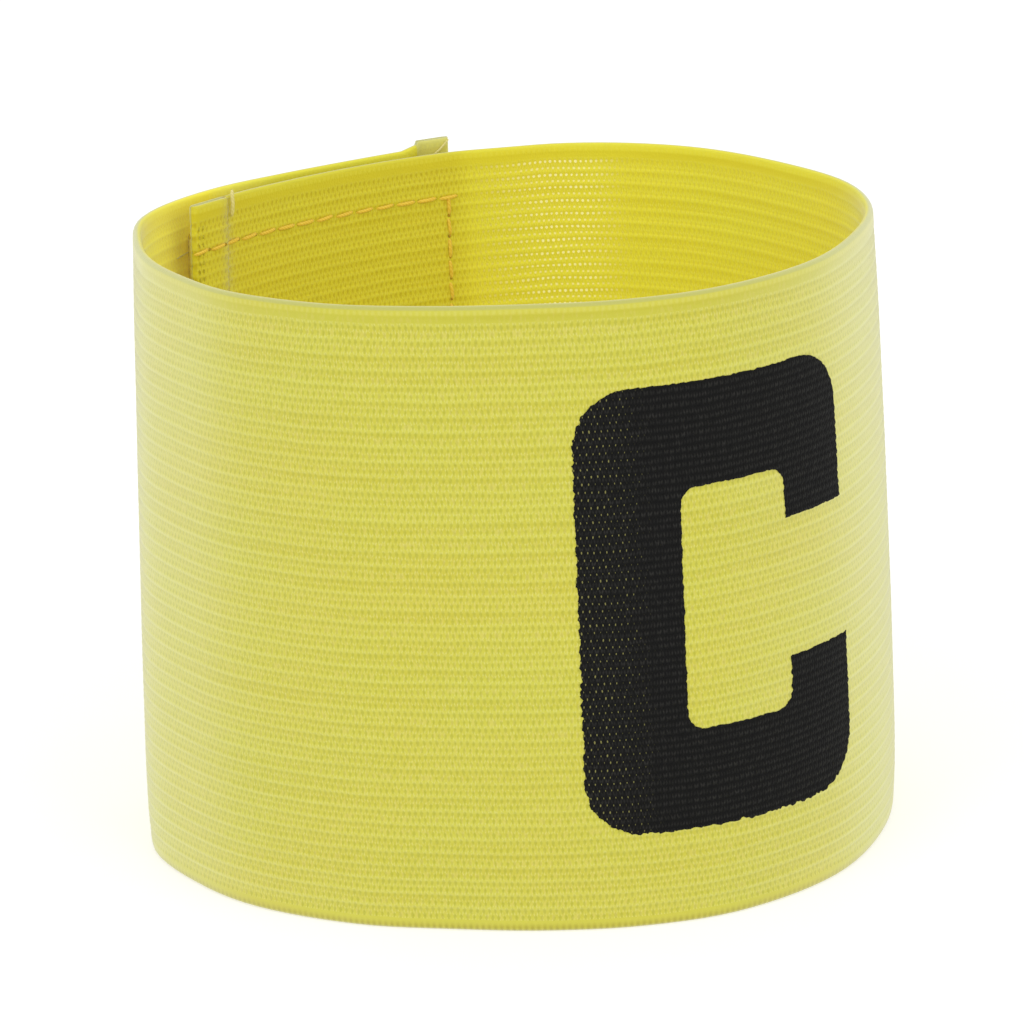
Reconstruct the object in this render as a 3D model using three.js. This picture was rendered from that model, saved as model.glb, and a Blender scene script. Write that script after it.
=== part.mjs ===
import * as THREE from 'three';

// Captain armband: a wide strip of ribbed elastic closed into a loop by a pair of
// hook and loop tapes, standing on its lower edge. Millimetres, +Z up, front towards -Y.
// The origin is the middle of the whole armband in plan, on the surface it stands on.

// The elastic
const bandHeight = 90;          // width of the elastic, from the lower edge to the rim
const rimRadius = 50;           // mean radius of the loop at the rim, outer face
const footRadius = 53;          // mean radius of the loop at the lower edge, outer face
const elasticThickness = 1.2;
const edgeCurl = 0.8;           // how far the lower edge curls inwards

// The two ends of the strip, each folded once to the inside and sewn down
const innerHemWidth = 6.9;
const outerHemWidth = 5.3;
const outerHemRise = 1.3;       // the outer fold spreads and stands proud of the rim
const hemThickness = 1.8;       // two layers of elastic, pressed by their sewing
const hemEdgeStep = 0.3;        // width of the step at the raw edge of a fold

// The fastening tapes between the layers
const loopTapeLength = 49.3;
const hookTapeLength = 44;
const tapeEdgeInset = 5.5;      // from the long edges of a tape to the edges of the elastic
const loopTapeInset = 1.5;      // from the inner end of the strip to the loop tape
const hookTapeInset = 1.2;      // from the raw edge of the outer hem to the hook tape
const loopTapeThickness = 0.9;
const hookTapeThickness = 0.9;
const faceGap = 0.3;            // gap between faces that lie on each other

// The printed captain's letter, a plain block C
const letterWidth = 43.2;
const letterRimMargin = 12;     // from the rim to the top of the letter
const letterFootMargin = 14.3;   // from the lower edge to the bottom of the letter
const letterStroke = 14.5;
const letterTipWidth = 12;      // width of the letter's two ends at its right
const letterMouth = 20;         // opening between the letter's two ends
const letterOuterCorner = 8;    // radius of the four outside corners
const letterInnerCorner = 2.5;  // radius of the four inside corners
const letterAngle = -56.4;      // where the middle of the letter sits, from +X, in degrees
const letterThickness = 0.4;

// Lengths of the steps that the curved pieces are made in
const stationSpacing = 3.6;
const letterStep = 3.2;

// The way of the strip in plan, from its inner end to its outer end, clockwise from above.
// angle: direction from the middle of the loop, in degrees from +X.
// rim, foot: radius of the outer face, as shares of rimRadius and footRadius.
// climb: how far the strip has climbed onto the layer below it, as a share of layerStep.
const way = [
  { angle: 161, rim: 0.996, foot: 0.984, climb: 0 },
  { angle: 148, rim: 0.930, foot: 0.948, climb: 0 },
  { angle: 135, rim: 0.890, foot: 0.922, climb: 0 },
  { angle: 122, rim: 0.878, foot: 0.904, climb: 0 },
  { angle: 109, rim: 0.890, foot: 0.904, climb: 0 },
  { angle: 100, rim: 0.910, foot: 0.914, climb: 0 },
  { angle: 90, rim: 0.928, foot: 0.926, climb: 0 },
  { angle: 79, rim: 0.971, foot: 0.950, climb: 0 },
  { angle: 66, rim: 1.001, foot: 0.974, climb: 0 },
  { angle: 52, rim: 1.019, foot: 0.994, climb: 0 },
  { angle: 34, rim: 1.025, foot: 1.004, climb: 0 },
  { angle: 16, rim: 1.060, foot: 1.030, climb: 0 },
  { angle: 0, rim: 1.059, foot: 1.044, climb: 0 },
  { angle: -16, rim: 1.038, foot: 1.048, climb: 0 },
  { angle: -36, rim: 1.033, foot: 1.042, climb: 0 },
  { angle: -56, rim: 1.010, foot: 0.999, climb: 0 },
  { angle: -72, rim: 0.973, foot: 0.946, climb: 0 },
  { angle: -88, rim: 0.935, foot: 0.906, climb: 0 },
  { angle: -104, rim: 0.940, foot: 0.899, climb: 0 },
  { angle: -120, rim: 0.978, foot: 0.944, climb: 0 },
  { angle: -138, rim: 1.020, foot: 1.014, climb: 0 },
  { angle: -150, rim: 1.012, foot: 1.035, climb: 0.25 },
  { angle: -165, rim: 1.002, foot: 1.046, climb: 0.70 },
  { angle: -180, rim: 0.997, foot: 1.000, climb: 1.00 },
  { angle: -190, rim: 1.000, foot: 0.998, climb: 1.20 },
  { angle: -199, rim: 0.978, foot: 0.974, climb: 1.30 },
  { angle: -212, rim: 0.930, foot: 0.948, climb: 1.30 },
  { angle: -225, rim: 0.890, foot: 0.922, climb: 1.12 },
  { angle: -238, rim: 0.878, foot: 0.904, climb: 1.05 },
  { angle: -251, rim: 0.890, foot: 0.904, climb: 1.18 },
  { angle: -259.7, rim: 0.909, foot: 0.914, climb: 1.38 },
];

// The upright profile of the wall. up: share of bandHeight. out: share of edgeCurl.
const profile = [
  { up: 0, out: -1 },
  { up: 0.05, out: -0.35 },
  { up: 0.14, out: 0 },
  { up: 0.35, out: 0.25 },
  { up: 0.62, out: 0.25 },
  { up: 0.86, out: 0 },
  { up: 1, out: -0.4 },
];

// Sizes that follow from those above
const tapeStack = loopTapeThickness + hookTapeThickness + 3 * faceGap;
const layerStep = elasticThickness + tapeStack;   // from one layer's face to the next one's

function wayCurve(share, radius) {
  const points = way.map((row) => {
    const reach = row[share] * radius + row.climb * layerStep;
    const angle = THREE.MathUtils.degToRad(row.angle);
    return new THREE.Vector3(reach * Math.cos(angle), reach * Math.sin(angle), 0);
  });
  return new THREE.CatmullRomCurve3(points, false, 'centripetal');
}

const rimCurve = wayCurve('rim', rimRadius);
const footCurve = wayCurve('foot', footRadius);

// Lengths along the strip at half its height, at even steps of the curves' parameter
const measureSteps = 800;
const measuredLengths = [0];
for (let step = 1, last = middlePoint(0); step <= measureSteps; step += 1) {
  const next = middlePoint(step / measureSteps);
  measuredLengths.push(measuredLengths[step - 1] + last.distanceTo(next));
  last = next;
}
const stripLength = measuredLengths[measureSteps];

function middlePoint(parameter) {
  return rimCurve.getPoint(parameter).lerp(footCurve.getPoint(parameter), 0.5);
}

function parameterAt(along) {
  let step = 1;
  while (step < measureSteps && measuredLengths[step] < along) step += 1;
  const before = measuredLengths[step - 1];
  return (step - 1 + (along - before) / (measuredLengths[step] - before)) / measureSteps;
}

function alongAtAngle(angle) {
  const row = way.findIndex((each) => each.angle <= angle);
  const [before, after] = [way[row - 1], way[row]];
  const share = (before.angle - angle) / (before.angle - after.angle);
  const parameter = (row - 1 + share) / (way.length - 1);
  return measuredLengths[Math.round(parameter * measureSteps)];
}

function profileAt(up) {
  const row = Math.max(1, profile.findIndex((each) => each.up >= up));
  const [below, above] = [profile[row - 1], profile[row]];
  const share = (up - below.up) / (above.up - below.up);
  return THREE.MathUtils.lerp(below.out, above.out, share) * edgeCurl;
}

// A point of the wall: along the strip from its inner end, height as a share of
// bandHeight, and depth inwards from the outer face.
function wallPoint(along, up, depth, rise = 0) {
  const parameter = parameterAt(along);
  const point = footCurve.getPoint(parameter).lerp(rimCurve.getPoint(parameter), up);
  const run = footCurve.getTangent(parameter).lerp(rimCurve.getTangent(parameter), up);
  const outward = new THREE.Vector3(-run.y, run.x, 0).normalize();
  point.addScaledVector(outward, profileAt(up) - depth);
  point.z = up * bandHeight + up * rise;
  return point;
}

// A closed slab between two grids of points, front and back, with rows going up and
// columns going clockwise round the loop on the front.
function slab(front, back) {
  const rows = front.length;
  const columns = front[0].length;
  const corners = [...front.flat(), ...back.flat()];
  const frontCorner = (row, column) => row * columns + column;
  const backCorner = (row, column) => rows * columns + frontCorner(row, column);
  const faces = [];
  const quad = (a, b, c, d) => faces.push(a, b, c, a, c, d);
  for (let row = 0; row + 1 < rows; row += 1) {
    for (let column = 0; column + 1 < columns; column += 1) {
      quad(frontCorner(row, column), frontCorner(row + 1, column),
        frontCorner(row + 1, column + 1), frontCorner(row, column + 1));
      quad(backCorner(row, column), backCorner(row, column + 1),
        backCorner(row + 1, column + 1), backCorner(row + 1, column));
    }
  }
  const edge = (a, b) => quad(frontCorner(...a), frontCorner(...b), backCorner(...b), backCorner(...a));
  for (let column = 0; column + 1 < columns; column += 1) {
    edge([0, column], [0, column + 1]);
    edge([rows - 1, column + 1], [rows - 1, column]);
  }
  for (let row = 0; row + 1 < rows; row += 1) {
    edge([row + 1, 0], [row, 0]);
    edge([row, columns - 1], [row + 1, columns - 1]);
  }
  const geometry = new THREE.BufferGeometry();
  geometry.setAttribute('position', new THREE.Float32BufferAttribute(
    corners.flatMap((corner) => [corner.x, corner.y, corner.z]), 3));
  geometry.setIndex(faces);
  geometry.computeVertexNormals();
  return geometry;
}

// Sections of the elastic strip along its length. outer and inner are the depths of its
// two faces, and rise is how far the section stands proud of the rim.
function bandSections() {
  const fold = hemThickness / 2;   // radius of the rounded nose of a folded end
  const noseTurns = [20, 50, 90].map(THREE.MathUtils.degToRad);
  const foldedEnd = (hemWidth, rise) => [
    ...noseTurns.map((turn) => ({
      along: fold * (1 - Math.cos(turn)),
      outer: fold * (1 - Math.sin(turn)),
      inner: fold * (1 + Math.sin(turn)),
      rise,
    })),
    { along: hemWidth, outer: 0, inner: hemThickness, rise },
    { along: hemWidth + hemEdgeStep, outer: 0, inner: elasticThickness, rise: rise / 2 },
  ];
  const innerEnd = foldedEnd(innerHemWidth, 0);
  const outerEnd = foldedEnd(outerHemWidth, outerHemRise)
    .map((section) => ({ ...section, along: stripLength - section.along }))
    .reverse();
  const from = innerHemWidth + hemEdgeStep;
  const to = stripLength - outerHemWidth - hemEdgeStep;
  const steps = Math.ceil((to - from) / stationSpacing);
  const body = [];
  for (let step = 1; step < steps; step += 1) {
    const along = from + ((to - from) * step) / steps;
    body.push({ along, outer: 0, inner: elasticThickness, rise: 0 });
  }
  return [...innerEnd, ...body, ...outerEnd];
}

function bandGeometry() {
  const sections = bandSections();
  const face = (side) => profile.map(({ up }) => (
    sections.map((section) => wallPoint(section.along, up, section[side], section.rise))));
  return slab(face('outer'), face('inner'));
}

// A tape sewn flat on the elastic, from one place along the strip to another
function tapeGeometry(from, to, nearDepth, farDepth) {
  const inset = tapeEdgeInset / bandHeight;
  const heights = [inset, ...profile.map(({ up }) => up), 1 - inset]
    .filter((up) => up >= inset && up <= 1 - inset)
    .sort((a, b) => a - b);
  const steps = Math.ceil((to - from) / stationSpacing);
  const face = (depth) => heights.map((up) => (
    Array.from({ length: steps + 1 }, (_, step) => (
      wallPoint(from + ((to - from) * step) / steps, up, depth)))));
  return slab(face(nearDepth), face(farDepth));
}

// One edge of the letter C, from its upper end round the left to its lower end, as
// points measured from the letter's middle, with x to the right and y up. left and
// right are how far it reaches to each side.
function letterEdge(left, right, halfHeight, corner) {
  const armSteps = Math.ceil(letterWidth / letterStep);
  const uprightSteps = Math.ceil((2 * halfLetterHeight) / letterStep);
  const endSteps = 3;
  const cornerSteps = 3;
  const points = [];
  const line = (from, to, steps) => {
    for (let step = 0; step < steps; step += 1) {
      points.push(new THREE.Vector2().lerpVectors(from, to, step / steps));
    }
  };
  const arc = (centreX, centreY, startTurns) => {
    const curve = new THREE.EllipseCurve(centreX, centreY, corner, corner,
      startTurns * Math.PI / 2, (startTurns + 1) * Math.PI / 2);
    for (let step = 0; step < cornerSteps; step += 1) points.push(curve.getPoint(step / cornerSteps));
  };
  const [farX, x, y] = [corner - left, right - corner, halfHeight - corner];
  const at = (px, py) => new THREE.Vector2(px, py);
  line(at(right, letterMouth / 2), at(right, y), endSteps);
  arc(x, y, 0);
  line(at(x, halfHeight), at(farX, halfHeight), armSteps);
  arc(farX, y, 1);
  line(at(-left, y), at(-left, -y), uprightSteps);
  arc(farX, -y, 2);
  line(at(farX, -halfHeight), at(x, -halfHeight), armSteps);
  arc(x, -y, 3);
  line(at(right, -y), at(right, -letterMouth / 2), endSteps);
  points.push(at(right, -letterMouth / 2));
  return points;
}

const halfLetterHeight = (bandHeight - letterRimMargin - letterFootMargin) / 2;

function letterGeometry() {
  const halfWidth = letterWidth / 2;
  const outerEdge = letterEdge(halfWidth, halfWidth, halfLetterHeight, letterOuterCorner);
  const innerEdge = letterEdge(halfWidth - letterStroke, halfWidth - letterTipWidth,
    halfLetterHeight - letterStroke, letterInnerCorner);
  const middleAlong = alongAtAngle(letterAngle);
  const middleHeight = letterFootMargin + halfLetterHeight;
  const strokeSteps = Math.ceil(letterStroke / letterStep);
  const face = (depth) => Array.from({ length: strokeSteps + 1 }, (_, step) => (
    innerEdge.map((inner, index) => {
      const spot = new THREE.Vector2().lerpVectors(inner, outerEdge[index], step / strokeSteps);
      return wallPoint(middleAlong - spot.x, (middleHeight + spot.y) / bandHeight, depth);
    })));
  return slab(face(-faceGap - letterThickness), face(-faceGap));
}

const elasticYellow = new THREE.MeshStandardMaterial({ color: 0xdcd450, roughness: 0.85, metalness: 0 });
const tapeYellow = new THREE.MeshStandardMaterial({ color: 0xc8a838, roughness: 0.95, metalness: 0 });
const letterBlack = new THREE.MeshStandardMaterial({ color: 0x1e1e1c, roughness: 0.6, metalness: 0 });

function piece(name, geometry, material) {
  const mesh = new THREE.Mesh(geometry, material);
  mesh.name = name;
  return mesh;
}

const hookTapeTo = stripLength - outerHemWidth - hemEdgeStep - hookTapeInset;

const group = new THREE.Group();
group.add(
  piece('elastic_band', bandGeometry(), elasticYellow),
  piece('loop_tape', tapeGeometry(loopTapeInset, loopTapeInset + loopTapeLength,
    -faceGap - loopTapeThickness, -faceGap), tapeYellow),
  piece('hook_tape', tapeGeometry(hookTapeTo - hookTapeLength, hookTapeTo,
    elasticThickness + faceGap, elasticThickness + faceGap + hookTapeThickness), tapeYellow),
  piece('captain_letter', letterGeometry(), letterBlack),
);

// Set the middle of the whole armband in plan on the origin
const middle = new THREE.Box3().setFromObject(group).getCenter(new THREE.Vector3());
group.position.set(-middle.x, -middle.y, 0);

export default group;
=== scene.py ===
import math

import bpy
import numpy as np
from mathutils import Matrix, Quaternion, Vector
from mathutils.geometry import delaunay_2d_cdt


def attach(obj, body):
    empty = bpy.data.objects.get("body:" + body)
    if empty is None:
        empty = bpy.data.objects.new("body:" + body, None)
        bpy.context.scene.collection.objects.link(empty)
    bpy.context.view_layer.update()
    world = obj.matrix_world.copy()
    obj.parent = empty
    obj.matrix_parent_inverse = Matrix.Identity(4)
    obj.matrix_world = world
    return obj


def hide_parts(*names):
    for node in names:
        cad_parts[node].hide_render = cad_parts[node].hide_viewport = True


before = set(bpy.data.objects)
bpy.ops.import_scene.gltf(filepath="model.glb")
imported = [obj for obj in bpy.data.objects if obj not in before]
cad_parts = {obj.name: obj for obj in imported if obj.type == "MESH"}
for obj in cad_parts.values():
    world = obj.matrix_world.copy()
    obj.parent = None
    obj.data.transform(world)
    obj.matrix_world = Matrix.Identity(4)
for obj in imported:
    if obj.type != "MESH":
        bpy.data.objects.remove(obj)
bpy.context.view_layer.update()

# Camera
# A long lens a little above the armband, half a metre in front of it, turned
# slightly about its own axis as the photograph is.
camera_place = Vector((0.000809, -0.501782, 0.216390))
camera_target = Vector((0.000019, -0.001639, 0.045630))
camera_roll = math.radians(-2.390)
camera_data = bpy.data.cameras.new("camera")
camera_data.sensor_width = 36
camera_data.lens = 126.16
camera_data.clip_start = 0.05
camera_data.clip_end = 20


def add_object(name, data):
    made = bpy.data.objects.new(name, data)
    bpy.context.scene.collection.objects.link(made)
    return made


camera = add_object("camera", camera_data)
camera.location = camera_place
camera.rotation_mode = "QUATERNION"
looking = (camera_target - camera_place).to_track_quat("-Z", "Y")
camera.rotation_quaternion = looking @ Quaternion((0, 0, 1), camera_roll)
bpy.context.scene.camera = camera


# Elastic band
# One strip of elastic, rolled into a loop that closes at the back left. Yellow yarn is
# knitted about ribs of rubber, and each cut end is folded once to the inside and sewn.
band_height = 0.090
rim_radius = 0.050
foot_radius = 0.053
elastic_thickness = 0.0012
edge_curl = 0.0008
edge_round = 0.0006
inner_hem = 0.0069
outer_hem = 0.0053
outer_hem_rise = 0.0013
hem_thickness = 0.0018
hem_step = 0.0003
layer_step = 0.0039
plan_shift = np.array([0.00080899, -0.00178206])

rim_edge = 0.0022
foot_edge = 0.0018
rib_count = 41
rib_pitch = (band_height - rim_edge - foot_edge) / rib_count
rib_depth = 0.00016
rib_phases = [0, 0.17, 0.31, 0.55, 0.80, 0.90]
rib_sink = [0, 0.25, 1, 0.1, 0.75, 0.3]
column_pitch = 0.00086
clear_gap_size = (0.00018, 0.00038)
faint_gap_size = (0.00017, 0.00036)
clear_hole_size = (0.00026, 0.00026)
faint_hole_size = (0.00024, 0.00022)
pulled_angles = (97, 83, 75, 67)
waver_scale = (150, 330)
waver_along = 0.55
waver_up = 0.14
station_step = 0.0026

# The way of the strip, clockwise from above: direction in degrees, radius of the rim
# and of the lower edge as shares, and climb onto the layer below
way = [
    (161, 0.996, 0.984, 0), (148, 0.930, 0.948, 0), (135, 0.890, 0.922, 0),
    (122, 0.878, 0.904, 0), (109, 0.890, 0.904, 0), (100, 0.910, 0.914, 0),
    (90, 0.928, 0.926, 0), (79, 0.971, 0.950, 0), (66, 1.001, 0.974, 0),
    (52, 1.019, 0.994, 0), (34, 1.025, 1.004, 0), (16, 1.060, 1.030, 0),
    (0, 1.059, 1.044, 0), (-16, 1.038, 1.048, 0), (-36, 1.033, 1.042, 0),
    (-56, 1.010, 0.999, 0), (-72, 0.973, 0.946, 0), (-88, 0.935, 0.906, 0),
    (-104, 0.940, 0.899, 0), (-120, 0.978, 0.944, 0), (-138, 1.020, 1.014, 0),
    (-150, 1.012, 1.035, 0.25), (-165, 1.002, 1.046, 0.70), (-180, 0.997, 1.000, 1.00),
    (-190, 1.000, 0.998, 1.20), (-199, 0.978, 0.974, 1.30), (-212, 0.930, 0.948, 1.30),
    (-225, 0.890, 0.922, 1.12), (-238, 0.878, 0.904, 1.05), (-251, 0.890, 0.904, 1.18),
    (-259.7, 0.909, 0.914, 1.38),
]
profile_up = [0, 0.05, 0.14, 0.35, 0.62, 0.86, 1]
profile_out = [-1, -0.35, 0, 0.25, 0.25, 0, -0.4]


def plan_knots(share, radius):
    knots = []
    for row in way:
        reach = row[share] * radius + row[3] * layer_step
        turn = math.radians(row[0])
        knots.append((reach * math.cos(turn), reach * math.sin(turn)))
    return np.array(knots)


def smooth_way(knots, parameter):
    rows = np.vstack([2 * knots[0] - knots[1], knots, 2 * knots[-1] - knots[-2]])
    place = np.clip(parameter, 0, 1) * (len(knots) - 1)
    first = np.minimum(place.astype(int), len(knots) - 2)
    share = (place - first)[:, None]
    a, b, c, d = (rows[first + step] for step in range(4))
    ab, bc, cd = (np.linalg.norm(q - p, axis=1)[:, None] ** 0.5
                  for p, q in ((a, b), (b, c), (c, d)))
    leave = ((b - a) / ab - (c - a) / (ab + bc) + (c - b) / bc) * bc
    arrive = ((c - b) / bc - (d - b) / (bc + cd) + (d - c) / cd) * bc
    square = 3 * (c - b) - 2 * leave - arrive
    cube = 2 * (b - c) + leave + arrive
    point = b + share * (leave + share * (square + share * cube))
    run = leave + share * (2 * square + 3 * share * cube)
    return point, run / np.linalg.norm(run, axis=1)[:, None]


rim_knots = plan_knots(1, rim_radius)
foot_knots = plan_knots(2, foot_radius)
steps = np.linspace(0, 1, 801)
middle_line = (smooth_way(rim_knots, steps)[0] + smooth_way(foot_knots, steps)[0]) / 2
step_lengths = np.linalg.norm(np.diff(middle_line, axis=0), axis=1)
lengths = np.concatenate([[0], np.cumsum(step_lengths)])
strip_length = lengths[-1]

# The wall's profile, with the corners between its rows eased over a few millimetres
profile_heights = np.linspace(0, band_height, 181)
profile_outs = np.interp(profile_heights / band_height, profile_up, profile_out) * edge_curl
eased = np.convolve(np.pad(profile_outs, 6, mode="edge"), np.ones(13) / 13, mode="valid")
profile_outs[3:-3] = eased[3:-3]


def wall(along, height, depth=0.0, rise=0.0):
    """Points of the wall, and the direction straight out of it at each."""
    along, height, depth, rise = (
        each.astype(float).ravel() for each in np.broadcast_arrays(along, height, depth, rise))
    parameter = np.interp(along, lengths, steps)
    rim, rim_run = smooth_way(rim_knots, parameter)
    foot, foot_run = smooth_way(foot_knots, parameter)
    up = (height / band_height)[:, None]
    run = foot_run + (rim_run - foot_run) * up
    outward = np.column_stack([-run[:, 1], run[:, 0]])
    outward /= np.linalg.norm(outward, axis=1)[:, None]
    out = np.interp(height, profile_heights, profile_outs) - depth
    plan = foot + (rim - foot) * up + outward * out[:, None] + plan_shift
    points = np.column_stack([plan, height * (1 + rise / band_height)])
    return points, np.column_stack([outward, np.zeros(len(outward))])


def along_at(angle):
    turns = [-row[0] for row in way]
    parameter = np.interp(-angle, turns, np.linspace(0, 1, len(way)))
    return float(np.interp(parameter, steps, lengths))


def relief(height):
    """How far a face of the elastic sinks between its ribs."""
    down = band_height - np.asarray(height, dtype=float) - rim_edge
    sink = np.interp((down / rib_pitch) % 1, rib_phases + [1], rib_sink + [0])
    ribbed = (down > 0) & (down < rib_count * rib_pitch)
    return np.where(ribbed, sink, 0) * rib_depth


def new_object(name, points, faces, material=None, strip_uv=None, smooth=True):
    mesh = bpy.data.meshes.new(name)
    mesh.from_pydata([tuple(map(float, point)) for point in points], [], faces)
    if strip_uv is not None:
        layer = mesh.uv_layers.new(name="Strip")
        corners = np.empty(len(mesh.loops), dtype=np.int32)
        mesh.loops.foreach_get("vertex_index", corners)
        layer.data.foreach_set("uv", np.asarray(strip_uv, dtype=np.float32)[corners].ravel())
    if smooth:
        mesh.polygons.foreach_set("use_smooth", [True] * len(mesh.polygons))
    if material is not None:
        mesh.materials.append(material)
    mesh.update()
    return add_object(name, mesh)


def point_values(piece, name, kind, values):
    attribute = piece.data.attributes.new(name, kind, "POINT")
    key = "vector" if kind == "FLOAT_VECTOR" else "value"
    attribute.data.foreach_set(key, np.asarray(values, dtype=np.float32).ravel())


def linear(red, green, blue):
    """A colour as seen on a screen, 0 to 255, as the shader needs it."""
    shares = [value / 255 for value in (red, green, blue)]
    return (*(s / 12.92 if s <= 0.04045 else ((s + 0.055) / 1.055) ** 2.4 for s in shares), 1)


def put(tree, kind, inputs=None, **settings):
    made = tree.nodes.new(kind)
    for name, value in settings.items():
        setattr(made, name, value)
    for key, value in (inputs or {}).items():
        if isinstance(value, bpy.types.NodeSocket):
            tree.links.new(value, made.inputs[key])
        else:
            made.inputs[key].default_value = value
    return made


def maths(tree, operation, *values, clamp=False):
    inputs = dict(enumerate(values))
    return put(tree, "ShaderNodeMath", inputs, operation=operation, use_clamp=clamp).outputs[0]


def times(tree, first, second):
    return maths(tree, "MULTIPLY", first, second)


def ease(tree, value, low, high, to_low=0.0, to_high=1.0):
    """The value's way from low to high, as a smooth step from to_low to to_high."""
    inputs = {0: value, 1: low, 2: high, 3: to_low, 4: to_high}
    return put(tree, "ShaderNodeMapRange", inputs, interpolation_type="SMOOTHSTEP").outputs[0]


def stripe(tree, value, rise, fall):
    """1 between the rise and the fall, each given as (from, to), and 0 outside."""
    return times(tree, ease(tree, value, *rise), ease(tree, value, *fall, 1.0, 0.0))


def blend_colour(tree, share, first, second):
    inputs = {0: share, 6: first, 7: second}
    return put(tree, "ShaderNodeMix", inputs, data_type="RGBA").outputs[2]


def curve_node(tree, value, points):
    made = put(tree, "ShaderNodeFloatCurve", {"Value": value})
    curve = made.mapping.curves[0]
    curve.points[0].location = points[0]
    curve.points[1].location = points[-1]
    for point in points[1:-1]:
        curve.points.new(*point)
    for point in curve.points:
        point.handle_type = "VECTOR"
    made.mapping.update()
    return made.outputs[0]


def as_piece(worked, name):
    """The plain mesh that a worked object comes to, as a new object."""
    graph = bpy.context.evaluated_depsgraph_get()
    mesh = bpy.data.meshes.new_from_object(worked.evaluated_get(graph), depsgraph=graph)
    source = worked.data
    bpy.data.objects.remove(worked)
    if isinstance(source, bpy.types.Mesh):
        bpy.data.meshes.remove(source)
    mesh.name = name
    return add_object(name, mesh)


def flat_noise(tree, place, scale):
    """Noise over the flat strip, with one scale, or one along it and one up it."""
    if isinstance(scale, tuple):
        place = put(tree, "ShaderNodeMapping", {0: place, 3: (*scale, 1)}).outputs[0]
        scale = 1
    return put(tree, "ShaderNodeTexNoise", {"Vector": place, "Scale": scale, "Detail": 0},
               noise_dimensions="2D")


# The knit, shared by everything that shows the elastic's surface. Each rib has a row
# of clear gaps in the yarn and a fainter row half a column on, and the yarn crosses
# between them. It is laid out on the strip: along it, and down from the rim.
knit = bpy.data.node_groups.new("knit of the elastic", "ShaderNodeTree")
for output in ("Gap", "Hole", "Yarn", "Height", "Down", "Along", "Phase", "Rib Tone",
               "Clear Row", "Faint Row"):
    knit.interface.new_socket(name=output, in_out="OUTPUT", socket_type="NodeSocketFloat")
strip_map = put(knit, "ShaderNodeUVMap", uv_map="Strip")
strip_axes = put(knit, "ShaderNodeSeparateXYZ", {0: strip_map.outputs[0]})
along_strip = strip_axes.outputs[0]
down_strip = maths(knit, "SUBTRACT", band_height, strip_axes.outputs[1])
waver = flat_noise(knit, strip_map.outputs[0], waver_scale)
waver_axes = put(knit, "ShaderNodeSeparateColor", {0: waver.outputs["Color"]})
column = maths(knit, "DIVIDE", along_strip, column_pitch)
column = maths(knit, "ADD", column, times(knit, waver_axes.outputs[0], waver_along))
rib_row = maths(knit, "DIVIDE", maths(knit, "SUBTRACT", down_strip, rim_edge), rib_pitch)
rib_waver = maths(knit, "MULTIPLY_ADD", waver_axes.outputs[1], waver_up, -waver_up / 2)
rib_row = maths(knit, "ADD", rib_row, rib_waver)
phase = maths(knit, "FRACT", rib_row)
rib_number = maths(knit, "FLOOR", rib_row)


def gap_row(shift, place, half_size):
    """One row of gaps: the square of a point's distance from its gap's middle, 1 at the edge."""
    half_width, half_height = half_size
    moved = maths(knit, "ADD", column, shift)
    across = maths(knit, "SUBTRACT", maths(knit, "FRACT", moved), 0.5)
    across = times(knit, across, column_pitch / half_width)
    up = times(knit, maths(knit, "SUBTRACT", phase, place), rib_pitch / half_height)
    cell = put(knit, "ShaderNodeCombineXYZ", {
        0: maths(knit, "FLOOR", moved), 1: rib_number, 2: place})
    luck = put(knit, "ShaderNodeTexWhiteNoise", {"Vector": cell.outputs[0]}, noise_dimensions="3D")
    square = maths(knit, "ADD", maths(knit, "POWER", across, 2), maths(knit, "POWER", up, 2))
    size = maths(knit, "MULTIPLY_ADD", luck.outputs[0], 0.55, 0.7)
    return maths(knit, "DIVIDE", square, size)


clear_row = gap_row(0.0, rib_phases[2], clear_gap_size)
faint_row = gap_row(0.5, rib_phases[4], faint_gap_size)
ribbed = times(knit, maths(knit, "GREATER_THAN", rib_row, 0.0),
               maths(knit, "LESS_THAN", rib_row, float(rib_count)))
clear_gap = ease(knit, clear_row, 0.0, 2.3, 1.0, 0.0)
faint_gap = ease(knit, faint_row, 0.0, 2.3, 1.0, 0.0)
gap = times(knit, maths(knit, "MAXIMUM", clear_gap, faint_gap), ribbed)
# The elastic is pulled a little wider where it bends least; there light through its gaps is painted on,
# from the Hole output
pull_shares = [along_at(angle) / strip_length for angle in pulled_angles]
pull = curve_node(knit, maths(knit, "DIVIDE", along_strip, float(strip_length)),
                  [(0, 0), *zip(pull_shares, (0, 1, 1, 0)), (1, 0)])
clear_hole = gap_row(0.0, rib_phases[2], clear_hole_size)
faint_hole = gap_row(0.5, rib_phases[4], faint_hole_size)
clear_hole = times(knit, ease(knit, clear_hole, 0.15, 1.2, 1.0, 0.0), pull)
faint_hole = times(knit, ease(knit, faint_hole, 0.15, 1.2, 0.7, 0.0), pull)
hole = times(knit, maths(knit, "MAXIMUM", clear_hole, faint_hole), ribbed)
lean = curve_node(knit, phase, [(0, 0.2), (0.31, 0), (0.80, 0.5), (1, 0.2)])
strands = []
for lean_way in ("ADD", "SUBTRACT"):
    leaned = maths(knit, "FRACT", maths(knit, lean_way, column, lean))
    offset = maths(knit, "SUBTRACT", leaned, 0.5)
    strands.append(ease(knit, maths(knit, "ABSOLUTE", offset), 0.04, 0.26, 1.0, 0.0))
yarn = times(knit, maths(knit, "MAXIMUM", *strands), ribbed)
rib_luck = put(knit, "ShaderNodeTexWhiteNoise", {"W": rib_number}, noise_dimensions="1D")
rib_height = maths(knit, "SUBTRACT", times(knit, yarn, 0.35), gap)
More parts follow.
